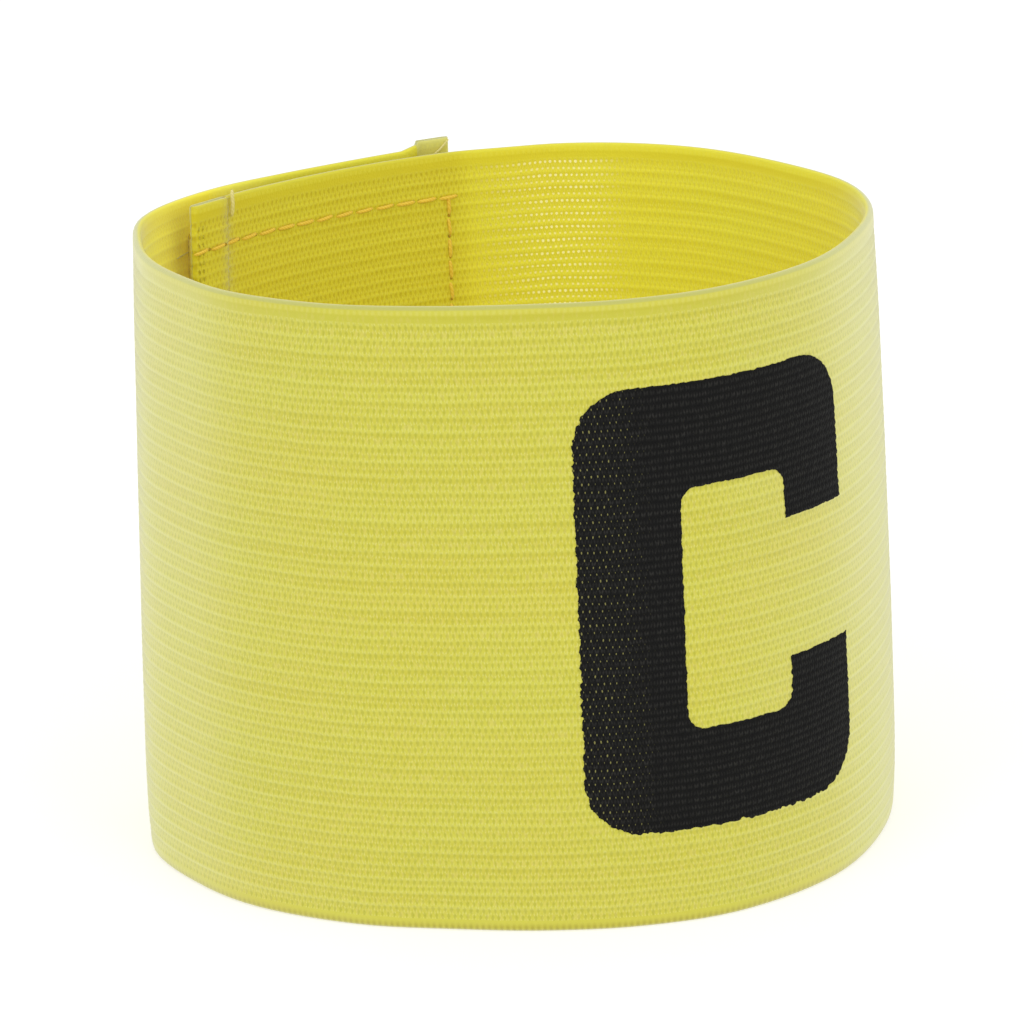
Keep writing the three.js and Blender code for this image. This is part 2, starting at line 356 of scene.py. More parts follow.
put(knit, "NodeGroupOutput", {
    "Gap": gap, "Hole": hole, "Yarn": yarn, "Height": rib_height, "Down": down_strip,
    "Along": along_strip, "Phase": phase, "Rib Tone": rib_luck.outputs[0],
    "Clear Row": clear_row, "Faint Row": faint_row})


def new_material(name):
    made = bpy.data.materials.new(name)
    made.use_nodes = True
    made.node_tree.nodes.clear()
    return made, made.node_tree


def bump(tree, height, distance, strength):
    inputs = {"Strength": strength, "Distance": distance, "Height": height}
    return put(tree, "ShaderNodeBump", inputs).outputs[0]


def finish_material(tree, looks):
    shader = put(tree, "ShaderNodeBsdfPrincipled", looks)
    put(tree, "ShaderNodeOutputMaterial", {"Surface": shader.outputs[0]})


yarn_yellow = linear(205, 200, 78)
yarn_pale = linear(216, 213, 118)
yarn_gap_shade = linear(176, 172, 46)
rib_shade = linear(196, 187, 58)
rubber_grey = linear(190, 189, 108)
backed_painted_shade = linear(176, 156, 30)
tab_lit_pale = linear(218, 214, 132)
raw_shade = linear(182, 150, 34)
foot_shade = linear(160, 148, 40)
daylight = linear(255, 250, 196)
rubber_pink = linear(221, 206, 122)
inner_lit_yellow = linear(242, 234, 70)
inner_lit_pale = linear(243, 237, 104)
inner_lit_gap_shade = linear(212, 192, 26)
inner_lit_row_tone = linear(232, 220, 52)
sheen_pale = linear(240, 242, 196)
soaked_gold = linear(236, 196, 30)
greenish_tint = (0.985, 1.008, 1.0, 1)
reddish_tint = (1.012, 0.99, 0.98, 1)
backed_to = 0.0505 / strip_length
soak_to = 1 - 0.046 / strip_length
raw_fade = 0.0002
rim_line_fade = (0.0003, 0.0006)
rim_loop_row = ((0.0004, 0.0007), (0.0010, 0.0013))
groove_row = ((0.0010, 0.0014), (0.0019, 0.0026))
foot_fade = (0.0003, 0.0016)
tab_light_fade = (0.004, 0.014)
cloud_scale = 70
streak_scale = (40, 900)
fibre_scale = (5200, 2600)
mark_scale = (2300, 620)
backed_shade_share = 0.26
raw_share = 0.65
sheen_share = 0.42
daylight_share = 0.85
daylight_strength = 0.16
soaked_strength = 0.2

elastic, tree = new_material("yellow elastic")
pattern = put(tree, "ShaderNodeGroup", node_tree=knit).outputs
strip_place = put(tree, "ShaderNodeUVMap", uv_map="Strip")
cloud = flat_noise(tree, strip_place.outputs[0], cloud_scale)
streak = flat_noise(tree, strip_place.outputs[0], streak_scale)
fibre = flat_noise(tree, strip_place.outputs[0], fibre_scale)
strip_share = maths(tree, "DIVIDE", pattern["Along"], float(strip_length))
backed = curve_node(tree, strip_share, [(0, 1), (backed_to, 1), (backed_to + 0.008, 0.25),
                                        (backed_to + 0.06, 0), (1, 0)])
# Pale where yarn crosses, painted shade deep in the gaps, and a shade darker under each clear row
under = curve_node(tree, pattern["Phase"], [(0, 0.15), (0.31, 0.35), (0.5, 1), (0.69, 0.6),
                                            (0.85, 0), (1, 0.15)])
tone = times(tree, under, 0.45)
tone = maths(tree, "ADD", tone, maths(tree, "MULTIPLY_ADD", pattern["Rib Tone"], 0.30, -0.15))
streaked = maths(tree, "MULTIPLY_ADD", streak.outputs[0], 0.7, -0.35)
tone = maths(tree, "ADD", tone, streaked, clamp=True)
# Painted light: the inner face gets lit copies of the colours, brighter and deeper in colour, standing
# in for light through the cloth and light bouncing inside the loop
face_side = put(tree, "ShaderNodeAttribute", attribute_name="side").outputs["Fac"]
outer_share = ease(tree, face_side, -0.5, 0.2)
main_colour = blend_colour(tree, outer_share, inner_lit_yellow, yarn_yellow)
shade_colour = blend_colour(tree, outer_share, inner_lit_row_tone, rib_shade)
pale_colour = blend_colour(tree, outer_share, inner_lit_pale, yarn_pale)
gap_shade_colour = blend_colour(tree, outer_share, inner_lit_gap_shade, yarn_gap_shade)
colour = blend_colour(tree, tone, main_colour, shade_colour)
fibre_share = ease(tree, fibre.outputs[0], 0.3, 0.7, 0.2, 0.75)
pale_share = times(tree, pattern["Yarn"], fibre_share)
colour = blend_colour(tree, pale_share, colour, pale_colour)
# Painted shade in the gaps: weaker on the inner face, but growing there where a tape lies behind
inner_gap_shade_amount = maths(tree, "MULTIPLY_ADD", backed, 0.4, 0.3)
gap_shade_amount = put(tree, "ShaderNodeMix", {0: outer_share, 2: inner_gap_shade_amount, 3: 0.68})
gap_shade_share = times(tree, pattern["Gap"], gap_shade_amount.outputs[0])
colour = blend_colour(tree, gap_shade_share, colour, gap_shade_colour)
# Painted light: daylight through the pulled gaps is painted as pale specks that glow faintly on the
# inner face
glow = times(tree, pattern["Hole"], maths(tree, "SUBTRACT", 1.0, outer_share))
colour = blend_colour(tree, times(tree, glow, daylight_share), colour, daylight)
# Bare rubber shows pinkish in short upright marks beside the faint rows
mark = flat_noise(tree, strip_place.outputs[0], mark_scale)
mark_row = curve_node(tree, pattern["Phase"], [(0, 0.1), (0.31, 0.15), (0.5, 0.35), (0.7, 1),
                                               (0.92, 0.8), (1, 0.1)])
mark_share = times(tree, ease(tree, mark.outputs[0], 0.54, 0.72, 0.0, 0.3), mark_row)
mark_side = maths(tree, "MULTIPLY_ADD", outer_share, 0.85, 0.15)
mark_share = times(tree, mark_share, mark_side)
colour = blend_colour(tree, mark_share, colour, rubber_pink)
tint = blend_colour(tree, cloud.outputs[0], greenish_tint, reddish_tint)
colour = put(tree, "ShaderNodeMix", {0: 1.0, 6: colour, 7: tint}, data_type="RGBA",
             blend_type="MULTIPLY").outputs[2]
# Painted shade where a tape sewn behind the single layer blocks light through it, and painted light that
# lifts the tab of the outer end out of its shade
colour = blend_colour(tree, times(tree, backed, backed_shade_share), colour, backed_painted_shade)
tab_from = float(strip_length - outer_hem - hem_step)
tab_light_fall = ease(tree, pattern["Down"], *tab_light_fade, 0.75, 0.3)
lit_tab = times(tree, maths(tree, "GREATER_THAN", pattern["Along"], tab_from), tab_light_fall)
colour = blend_colour(tree, lit_tab, colour, tab_lit_pale)
# The rim: a grey line of bare rubber, a row of tiny pale loops, then a bare groove darkened with painted
# shade
loop_turn = times(tree, pattern["Along"], 2 * math.pi / column_pitch)
loop_wave = maths(tree, "MULTIPLY_ADD", maths(tree, "SINE", loop_turn), 0.5, 0.5)
selvage_share = maths(tree, "MULTIPLY_ADD", outer_share, 0.05, 0.25)
groove = stripe(tree, pattern["Down"], *groove_row)
colour = blend_colour(tree, times(tree, groove, selvage_share), colour, gap_shade_colour)
rim_loop = stripe(tree, pattern["Down"], *rim_loop_row)
loop_share = times(tree, rim_loop, times(tree, loop_wave, selvage_share))
colour = blend_colour(tree, loop_share, colour, pale_colour)
rim_line = ease(tree, pattern["Down"], *rim_line_fade, 1.0, 0.0)
rim_side = ease(tree, face_side, -0.2, 0.6, 0.12, 0.9)
colour = blend_colour(tree, times(tree, rim_line, rim_side), colour, rubber_grey)
# The raw edge of the inner hem, where the cut yarns lie in shadow
raw_end = inner_hem + hem_step
raw_line = stripe(tree, pattern["Along"], (inner_hem - raw_fade, inner_hem),
                  (raw_end, raw_end + raw_fade))
colour = blend_colour(tree, times(tree, raw_line, raw_share), colour, raw_shade)
# The lower edge: a closed strip, darkened by a painted shade along the very edge that is broken by the
# yarn's turns
foot_up = maths(tree, "SUBTRACT", band_height, pattern["Down"])
foot_wave = maths(tree, "MULTIPLY_ADD", loop_wave, 0.5, 0.3)
foot_painted_shade = times(tree, ease(tree, foot_up, *foot_fade, 1.0, 0.0), foot_wave)
colour = blend_colour(tree, foot_painted_shade, colour, foot_shade)
# Painted sheen: the outer face's colour pales where the cloth turns away, for light caught by the fine
# yarn
turned_away = put(tree, "ShaderNodeLayerWeight", {"Blend": 0.5}).outputs["Facing"]
yarn_sheen = times(tree, ease(tree, turned_away, 0.05, 0.9, 0.0, sheen_share), outer_share)
colour = blend_colour(tree, yarn_sheen, colour, sheen_pale)
# Painted light: light soaking through the single layer is painted as a golden glow beside the inner end
soaked = curve_node(tree, strip_share, [(0, 0), (soak_to - 0.07, 0), (soak_to, 1),
                                        (soak_to + 0.02, 0.3), (soak_to + 0.04, 0), (1, 0)])
soaked = times(tree, soaked, maths(tree, "SUBTRACT", 1.0, outer_share))
shine = times(tree, glow, daylight_strength)
shine = maths(tree, "MULTIPLY_ADD", soaked, soaked_strength, shine)
shine_colour = blend_colour(tree, soaked, daylight, soaked_gold)
finish_material(tree, {
    "Base Color": colour, "Normal": bump(tree, fibre.outputs[0], 0.00010, 0.4), "Roughness": 0.85,
    "Specular IOR Level": 0.18, "Sheen Weight": 0.8, "Sheen Roughness": 0.35,
    "Sheen Tint": (1.0, 1.0, 0.9, 1), "Emission Color": shine_colour,
    "Emission Strength": shine})


def ring_faces(ring_total, size):
    """Quads between rings of points that lie one after another."""
    faces = []
    for first in range(0, (ring_total - 1) * size, size):
        for place in range(size):
            after = (place + 1) % size
            faces.append((first + place, first + after, first + size + after, first + size + place))
    return faces


# Sections along the strip: place, depth of the outer and inner face, rise, and doubled
nose_turns = [math.radians(turn) for turn in (8, 24, 42, 60, 76, 90)]


def folded_end(hem, rise):
    fold = hem_thickness / 2
    nose = [(fold * (1 - math.cos(turn)), fold * (1 - math.sin(turn)),
             fold * (1 + math.sin(turn)), rise, 1) for turn in nose_turns]
    flat = [(place, 0, hem_thickness, rise, 1) for place in np.linspace(2.4 * fold, hem, 3)]
    return nose + flat + [(hem + hem_step, 0, elastic_thickness, rise / 2, 0)]


inner_end = folded_end(inner_hem, 0)
outer_end = [(strip_length - each[0], *each[1:])
             for each in folded_end(outer_hem, outer_hem_rise)][::-1]
body_from = inner_hem + hem_step
body_to = strip_length - outer_hem - hem_step
body_count = math.ceil((body_to - body_from) / station_step)
body = [(place, 0, elastic_thickness, 0, 0)
        for place in np.linspace(body_from, body_to, body_count + 1)[1:-1]]
sections = np.array(inner_end + body + outer_end)

# One section's outline: up the outer face, over the rim, down the inner face, and back
rows_down = [edge_round, 0.0011, 0.0016]
for rib in range(rib_count):
    rows_down += [rim_edge + (rib + share) * rib_pitch for share in rib_phases]
rows_down += [band_height - foot_edge, band_height - 0.0011, band_height - edge_round]
face_heights = band_height - np.array(rows_down[::-1])
cap_shares = np.array([-0.92, -0.70, -0.38, 0, 0.38, 0.70, 0.92])
cap_round = np.sqrt(1 - cap_shares ** 2)
cap_double = np.sqrt(np.maximum(0, 1 - ((np.abs(cap_shares) - 0.5) / 0.5) ** 2))
side_shares = np.concatenate([-np.ones(len(face_heights)), cap_shares,
                              np.ones(len(face_heights)), cap_shares[::-1]])
outline_count = len(side_shares)
all_along, all_heights, all_depths, all_rises = [], [], [], []
for place, outer, inner, rise, doubled in sections:
    cap = edge_round * (cap_double if doubled else cap_round)
    outline = np.concatenate([face_heights, band_height - edge_round + cap,
                              face_heights[::-1], edge_round - cap[::-1]])
    all_heights.append(outline)
    all_along.append(np.full(outline_count, place))
    all_depths.append((outer + inner) / 2 + side_shares * (inner - outer) / 2)
    all_rises.append(np.full(outline_count, rise))
all_along, all_heights, all_depths, all_rises = (
    np.concatenate(each) for each in (all_along, all_heights, all_depths, all_rises))
band_points, band_outward = wall(all_along, all_heights, all_depths, all_rises)
band_faces = ring_faces(len(sections), outline_count)
# The outline starts at the foot of the outer face, so each end closes row by row
row_count = len(face_heights)
cap_count = len(cap_shares)
half_cap = cap_count // 2 + 1
first_side = [*range(outline_count - half_cap, outline_count), *range(row_count + half_cap)]
opposite = 2 * row_count + 2 * cap_count - half_cap
second_side = [(opposite - step) % outline_count for step in range(len(first_side))]
for end, flip in ((0, False), ((len(sections) - 1) * outline_count, True)):
    for row in range(len(first_side) - 1):
        corners = list(dict.fromkeys(
            [first_side[row], first_side[row + 1], second_side[row + 1], second_side[row]]))
        if len(corners) < 3:
            continue
        corners = [end + corner for corner in corners]
        band_faces.append(tuple(corners if flip else corners[::-1]))

plain_band = new_object("elastic_plain", band_points, band_faces,
                        strip_uv=np.column_stack([all_along, all_heights]))
point_values(plain_band, "outward", "FLOAT_VECTOR", band_outward)
point_values(plain_band, "side", "FLOAT", np.tile(-side_shares, len(sections)))
point_values(plain_band, "down", "FLOAT", band_height - all_heights)


def new_tree(name, inputs):
    made = bpy.data.node_groups.new(name, "GeometryNodeTree")
    made.interface.new_socket(name="Geometry", in_out="INPUT", socket_type="NodeSocketGeometry")
    for label, kind in inputs:
        made.interface.new_socket(name=label, in_out="INPUT", socket_type=kind)
    made.interface.new_socket(name="Geometry", in_out="OUTPUT", socket_type="NodeSocketGeometry")
    return made, put(made, "NodeGroupInput").outputs


def end_tree(tree, geometry, material):
    real = put(tree, "GeometryNodeRealizeInstances", {"Geometry": geometry})
    painted = put(tree, "GeometryNodeSetMaterial", {"Geometry": real.outputs[0]})
    painted.inputs["Material"].default_value = material
    put(tree, "NodeGroupOutput", {0: painted.outputs[0]})


def run_tree(worked, tree, values):
    modifier = worked.modifiers.new(tree.name, "NODES")
    modifier.node_group = tree
    for item in tree.interface.items_tree:
        if item.in_out == "INPUT" and item.name in values:
            modifier[item.identifier] = values[item.name]


def named_value(tree, name, kind):
    made = put(tree, "GeometryNodeInputNamedAttribute", data_type=kind)
    made.inputs["Name"].default_value = name
    return made.outputs[0]


ribs, rib_inputs = new_tree("Ribs", [
    ("Rib Pitch", "NodeSocketFloat"), ("Rib Depth", "NodeSocketFloat"),
    ("First Rib", "NodeSocketFloat"), ("Rib Count", "NodeSocketFloat")])
rib_place = maths(ribs, "DIVIDE", maths(ribs, "SUBTRACT", named_value(ribs, "down", "FLOAT"),
                                        rib_inputs["First Rib"]), rib_inputs["Rib Pitch"])
rib_curve = curve_node(ribs, maths(ribs, "FRACT", maths(ribs, "ADD", rib_place, 0.001)),
                       list(zip(rib_phases + [1], rib_sink + [0])))
within = times(ribs, maths(ribs, "GREATER_THAN", rib_place, -0.001),
               maths(ribs, "LESS_THAN", rib_place, rib_inputs["Rib Count"]))
sink = times(ribs, times(ribs, rib_curve, within), rib_inputs["Rib Depth"])
sink = times(ribs, sink, times(ribs, named_value(ribs, "side", "FLOAT"), -1.0))
push = put(ribs, "ShaderNodeVectorMath", {
    0: named_value(ribs, "outward", "FLOAT_VECTOR"), "Scale": sink}, operation="SCALE")
ribbed_cloth = put(ribs, "GeometryNodeSetPosition", {
    "Geometry": rib_inputs[0], "Offset": push.outputs[0]})
end_tree(ribs, ribbed_cloth.outputs[0], elastic)
run_tree(plain_band, ribs, {"Rib Pitch": rib_pitch, "Rib Depth": rib_depth,
                            "First Rib": rim_edge, "Rib Count": float(rib_count)})
band = as_piece(plain_band, "elastic_cloth")
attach(band, "root")
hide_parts("elastic_band")


# Captain's letter
# A plain block C in black ink, pressed into the face of the elastic, so the knit
# shows through it and its edge breaks up where the yarn sinks between the ribs.
letter_half_width = 0.0216
letter_half_height = 0.03185
letter_foot = 0.0143
letter_stroke = 0.0145
letter_tip_width = 0.012
letter_mouth = 0.020
letter_outer_corner = 0.008
letter_inner_corner = 0.0025
letter_angle = -56.4
ink_lift = 0.00008
ink_sink = 0.00012
ink_edge_room = 0.0002
ink_point_step = 0.0011
open_most = 0.25
open_reach = 0.013
ink_black = linear(15, 15, 14)
ink_worn = linear(51, 50, 47)
ink_gap_shade = linear(7, 7, 7)
uninked_yarn = linear(128, 124, 72)


def letter_side(left, right, half_height, corner):
    """One edge of the C from its upper tip round the left to its lower tip."""
    points = [(right, letter_mouth / 2)]
    for turn in range(4):
        x = right - corner if turn in (0, 3) else corner - left
        y = (half_height - corner) * (1 if turn in (0, 1) else -1)
        for step in range(9):
            angle = (turn + step / 8) * math.pi / 2
            points.append((x + corner * math.cos(angle), y + corner * math.sin(angle)))
    points.append((right, -letter_mouth / 2))
    return points


def even_steps(points, step):
    points = np.array(points)
    runs = np.concatenate([[0], np.cumsum(np.linalg.norm(np.diff(points, axis=0), axis=1))])
    places = np.linspace(0, runs[-1], max(2, round(runs[-1] / step) + 1))
    return np.column_stack([np.interp(places, runs, points[:, axis]) for axis in (0, 1)])


outer_side = letter_side(letter_half_width, letter_half_width, letter_half_height,
                         letter_outer_corner)
inner_side = letter_side(letter_half_width - letter_stroke, letter_half_width - letter_tip_width,
                         letter_half_height - letter_stroke, letter_inner_corner)
letter_outline = even_steps(outer_side + inner_side[::-1] + [outer_side[0]], 0.00028)[:-1]
# The ink's edge is ragged: most at the left and along the bottom, little elsewhere
luck = np.random.default_rng(7)
ragged = luck.normal(0, 1, (len(letter_outline), 2))
ragged = ragged + np.roll(ragged, 1, axis=0) * 0.6
raggedness = np.full(len(letter_outline), 0.00005)
raggedness[letter_outline[:, 0] < -letter_half_width + 0.002] = 0.00010
raggedness[letter_outline[:, 1] < -letter_half_height + 0.003] = 0.00010
letter_outline = letter_outline + ragged * raggedness[:, None]

letter_height = letter_foot + letter_half_height
row_heights = face_heights[(face_heights > letter_foot - 0.001)
                           & (face_heights < letter_foot + 2 * letter_half_height + 0.001)]
inside_points, row_runs = [], []
for height_here in row_heights:
    y = height_here - letter_height
    ends = np.roll(letter_outline, -1, axis=0)
    crossing = (letter_outline[:, 1] > y) != (ends[:, 1] > y)
    here, there = letter_outline[crossing], ends[crossing]
    share = (y - here[:, 1]) / (there[:, 1] - here[:, 1])
    cuts = np.sort(here[:, 0] + share * (there[:, 0] - here[:, 0]))
    for left, right in zip(cuts[::2], cuts[1::2]):
        room = right - left - 2 * ink_edge_room
        if room > 0:
            place_count = max(2, math.ceil(room / ink_point_step) + 1)
            places = np.linspace(left + ink_edge_room, right - ink_edge_room, place_count)
            row_runs.append((len(inside_points), len(places)))
            inside_points += [(x, y) for x in places]
flat_points = [Vector(point) for point in [*letter_outline, *inside_points]]
edge_count = len(letter_outline)
edges = [(place, (place + 1) % edge_count) for place in range(edge_count)]
for first, run_count in row_runs:
    edges += [(edge_count + place, edge_count + place + 1)
              for place in range(first, first + run_count - 1)]
flat, _, triangles, _, _, _ = delaunay_2d_cdt(flat_points, edges, [], 1, 1e-7)
flat = np.array([tuple(point) for point in flat])
letter_along = along_at(letter_angle) - flat[:, 0]
letter_heights = letter_height + flat[:, 1]
sunk = relief(letter_heights)
ink_top, _ = wall(letter_along, letter_heights, sunk - ink_lift)
ink_bottom, _ = wall(letter_along, letter_heights, sunk + ink_sink)
count = len(flat)
top_faces = []
for a, b, c in triangles:
    turn = np.cross(flat[b] - flat[a], flat[c] - flat[a])
    top_faces.append((a, b, c) if turn > 0 else (a, c, b))
uses = {}
for face in top_faces:
    uses.update(dict.fromkeys(zip(face, face[1:] + face[:1])))
rim_edges = [pair for pair in uses if pair[::-1] not in uses]
letter_faces = top_faces + [(count + c, count + b, count + a) for a, b, c in top_faces]
letter_faces += [(end, start, count + start, count + end) for start, end in rim_edges]

ink, tree = new_material("black ink")
pattern = put(tree, "ShaderNodeGroup", node_tree=knit).outputs
ink_place = put(tree, "ShaderNodeUVMap", uv_map="Strip")
ink_cloud = put(tree, "ShaderNodeTexNoise", {
    "Vector": ink_place.outputs[0], "Scale": 900, "Detail": 3})
worn = ease(tree, ink_cloud.outputs[0], 0.35, 0.75, 0.25, 0.75)
worn = times(tree, pattern["Yarn"], worn)
colour = blend_colour(tree, worn, ink_black, ink_worn)
# Painted shade in the gaps of the knit under the ink
colour = blend_colour(tree, times(tree, pattern["Gap"], 0.8), colour, ink_gap_shade)
ink_height = maths(tree, "ADD", pattern["Height"], times(tree, ink_cloud.outputs[0], 0.4))
ink_bump = bump(tree, ink_height, 0.00018, 0.8)
# The ink leaves the gaps open along the left stroke, and fills them to the right
letter_start = float(along_at(letter_angle) + letter_half_width)
from_left = maths(tree, "SUBTRACT", letter_start, pattern["Along"])
open_size = ease(tree, from_left, 0.0, open_reach, open_most, 0.0)
open_luck = ease(tree, ink_cloud.outputs[0], 0.35, 0.65, 0.35, 1.4)
open_size = times(tree, open_size, open_luck)
clear_over = maths(tree, "SUBTRACT", pattern["Clear Row"], open_size)
clear_open = ease(tree, clear_over, -0.16, 0.16, 1.0, 0.0)
faint_size = maths(tree, "MULTIPLY_ADD", open_size, 0.9, -0.02)
faint_over = maths(tree, "SUBTRACT", pattern["Faint Row"], faint_size)
faint_open = ease(tree, faint_over, -0.16, 0.16, 1.0, 0.0)
uninked = times(tree, maths(tree, "MAXIMUM", clear_open, faint_open),
                ease(tree, open_size, 0.01, 0.12))
colour = blend_colour(tree, uninked, colour, uninked_yarn)
finish_material(tree, {
    "Base Color": colour, "Normal": ink_bump, "Roughness": 0.8, "Specular IOR Level": 0.15})

letter = new_object("captain_letter_ink", np.vstack([ink_top, ink_bottom]), letter_faces, ink,
                    strip_uv=np.column_stack([np.tile(letter_along, 2), np.tile(letter_heights, 2)]))
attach(letter, "root")
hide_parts("captain_letter")


# Fastening tapes
# A strip of brushed loops on the outer face of the inner end, and a strip of small
# hooks on the inner face of the outer end. They lie between the layers and grip.
tape_inset = 0.0055
tape_thickness = 0.0009
tape_step = 0.0013
tape_row_count = 50
tape_edge = 0.002
tape_edge_rows = [0, 0.0001, 0.00035]
face_gap = 0.0003
loop_tape_length = 0.0493
hook_tape_length = 0.044
loop_tape_inset = 0.0015
hook_tape_inset = 0.0012
hook_tape_to = strip_length - outer_hem - hem_step - hook_tape_inset


def tape(name, start, end, near, far, material):
    """A thin woven slab on the wall, with its long edges rounded."""
    places = np.linspace(start, end, math.ceil((end - start) / tape_step) + 1)
    bottom, top = tape_inset, band_height - tape_inset
    face_rows = np.array([bottom + each for each in tape_edge_rows]
                         + list(np.linspace(bottom + tape_edge, top - tape_edge, tape_row_count))
                         + [top - each for each in tape_edge_rows[::-1]])
    rounding = np.ones(len(face_rows))
    rounding[[0, -1]] = 0.35
    rounding[[1, -2]] = 0.75
    middle, half = (near + far) / 2, (far - near) / 2
    heights = np.concatenate([face_rows, face_rows[::-1]])
    depths = np.concatenate([middle - half * rounding, middle + half * rounding[::-1]])
    grid_along = np.repeat(places, len(heights))
    grid_heights = np.tile(heights, len(places))
    points, _ = wall(grid_along, grid_heights, np.tile(depths, len(places)))
    ring = len(heights)
    faces = ring_faces(len(places), ring)
    for row in range(len(face_rows) - 1):
        quad = (row, row + 1, ring - 2 - row, ring - 1 - row)
        faces.append(quad[::-1])
        faces.append(tuple((len(places) - 1) * ring + corner for corner in quad))
    return new_object(name, points, faces, material,
                      strip_uv=np.column_stack([grid_along, grid_heights]))


def tape_material(name, light, dark, scale):
    made, tree = new_material(name)
    place = put(tree, "ShaderNodeUVMap", uv_map="Strip")
    fuzz = put(tree, "ShaderNodeTexNoise", {"Vector": place.outputs[0], "Scale": scale, "Detail": 4,
                                            "Distortion": 1.5})
    weave = put(tree, "ShaderNodeTexVoronoi", {"Vector": place.outputs[0], "Scale": scale * 0.8})
    share = times(tree, ease(tree, fuzz.outputs[0], 0.3, 0.7), 0.8)
    colour = blend_colour(tree, share, dark, light)
    height = maths(tree, "ADD", fuzz.outputs[0], times(tree, weave.outputs[0], 0.8))
    finish_material(tree, {
        "Base Color": colour, "Normal": bump(tree, height, 0.0002, 0.8), "Roughness": 0.95,
        "Specular IOR Level": 0.1, "Sheen Weight": 0.4, "Sheen Roughness": 0.5})
    return made


brushed_loops = tape_material("brushed loops", linear(240, 222, 70), linear(214, 190, 34), 1800)
woven_hooks = tape_material("woven hook tape", linear(236, 214, 60), linear(208, 182, 30), 1400)
loop_piece = tape("loop_tape_cloth", loop_tape_inset, loop_tape_inset + loop_tape_length,
                  -face_gap - tape_thickness, -face_gap, brushed_loops)
hook_piece = tape("hook_tape_cloth", hook_tape_to - hook_tape_length, hook_tape_to,
                  elastic_thickness + face_gap, elastic_thickness + face_gap + tape_thickness,
                  woven_hooks)
for piece, node_name in ((loop_piece, "loop_tape"), (hook_piece, "hook_tape")):
    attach(piece, "root")
    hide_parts(node_name)


# Seams of the tapes
# Each tape is held by a rectangle of lockstitch in orange thread, sewn through tape and
# elastic. It shows on the bare face of each layer, pulled into the cloth at each hole.
seam_inset = 0.0071
seam_end_inset = 0.0013
corner_room = 0.0012
stitch_pitch = 0.0034
stitch_length = 0.0030
stitch_width = 0.00056
stitch_height = 0.00034
needle_hole = 0.00062
seam_tilt = math.radians(4)


def tube(points, radii, sides, normal=(0, 0, 1)):
    """A closed tube through points, with a radius at each."""
    points = np.array(points, dtype=float)
    runs = np.gradient(points, axis=0)
    runs /= np.linalg.norm(runs, axis=1)[:, None]
    across = np.cross(runs, np.array(normal, dtype=float))
    across /= np.linalg.norm(across, axis=1)[:, None]
    upward = np.cross(across, runs)
    turns = np.linspace(0, 2 * math.pi, sides, endpoint=False)
    made = []
    for point, radius, side, up in zip(points, radii, across, upward):
        made += [point + radius * (math.cos(turn) * side + math.sin(turn) * up) for turn in turns]
    faces = [(a, d, c, b) for a, b, c, d in ring_faces(len(points), sides)]
    faces.append(tuple(range(sides)))
    faces.append(tuple((len(points) - 1) * sides + side for side in reversed(range(sides))))
    return made, faces


def stitch_shape(name, length, width, height):
    """One stitch, along X on a face that looks to +Z, with both ends pulled in."""
    shares = np.linspace(-1, 1, 9)
    points = [(share * length / 2, 0, height * (1 - abs(share) ** 3) - width * 0.35)
              for share in shares]
    radii = [width / 2 * math.sqrt(1 - 0.8 * abs(share) ** 5) for share in shares]
    return new_object(name, *tube(points, radii, 6))


def hole_shape(name, size):
    """A low oval dimple, coloured dark as painted shade in the mouth of a needle hole."""
    points = [(0, 0, size * 0.16)]
    turns = np.linspace(0, 2 * math.pi, 8, endpoint=False)
    for reach, height in ((0.55, 0.12), (1.0, -0.10)):
        points += [(size / 2 * reach * math.cos(turn), size * 0.42 * reach * math.sin(turn),
                    size * height) for turn in turns]
    points.append((0, 0, -size * 0.2))
    faces = []
    for place in range(8):
        after = (place + 1) % 8
        faces.append((0, 1 + place, 1 + after))
        faces.append((1 + place, 9 + place, 9 + after, 1 + after))
        faces.append((9 + place, 17, 9 + after))
    return new_object(name, points, faces)


def thread_material(name, light, dark, roughness):
    made, tree = new_material(name)
    place = put(tree, "ShaderNodeTexCoord")
    twist = put(tree, "ShaderNodeTexWave", {"Vector": place.outputs["Object"], "Scale": 900,
                                            "Distortion": 1.5, "Detail": 1}, bands_direction="DIAGONAL")
    fluff = put(tree, "ShaderNodeTexNoise", {"Vector": place.outputs["Object"], "Scale": 2500})
    share = maths(tree, "MULTIPLY_ADD", twist.outputs["Fac"], 0.6, 0.0)
    share = maths(tree, "MULTIPLY_ADD", fluff.outputs[0], 0.4, share)
    colour = blend_colour(tree, share, dark, light)
    finish_material(tree, {
        "Base Color": colour, "Normal": bump(tree, share, 0.00006, 0.5), "Roughness": roughness,
        "Specular IOR Level": 0.3, "Sheen Weight": 0.2, "Sheen Roughness": 0.4})
    return made


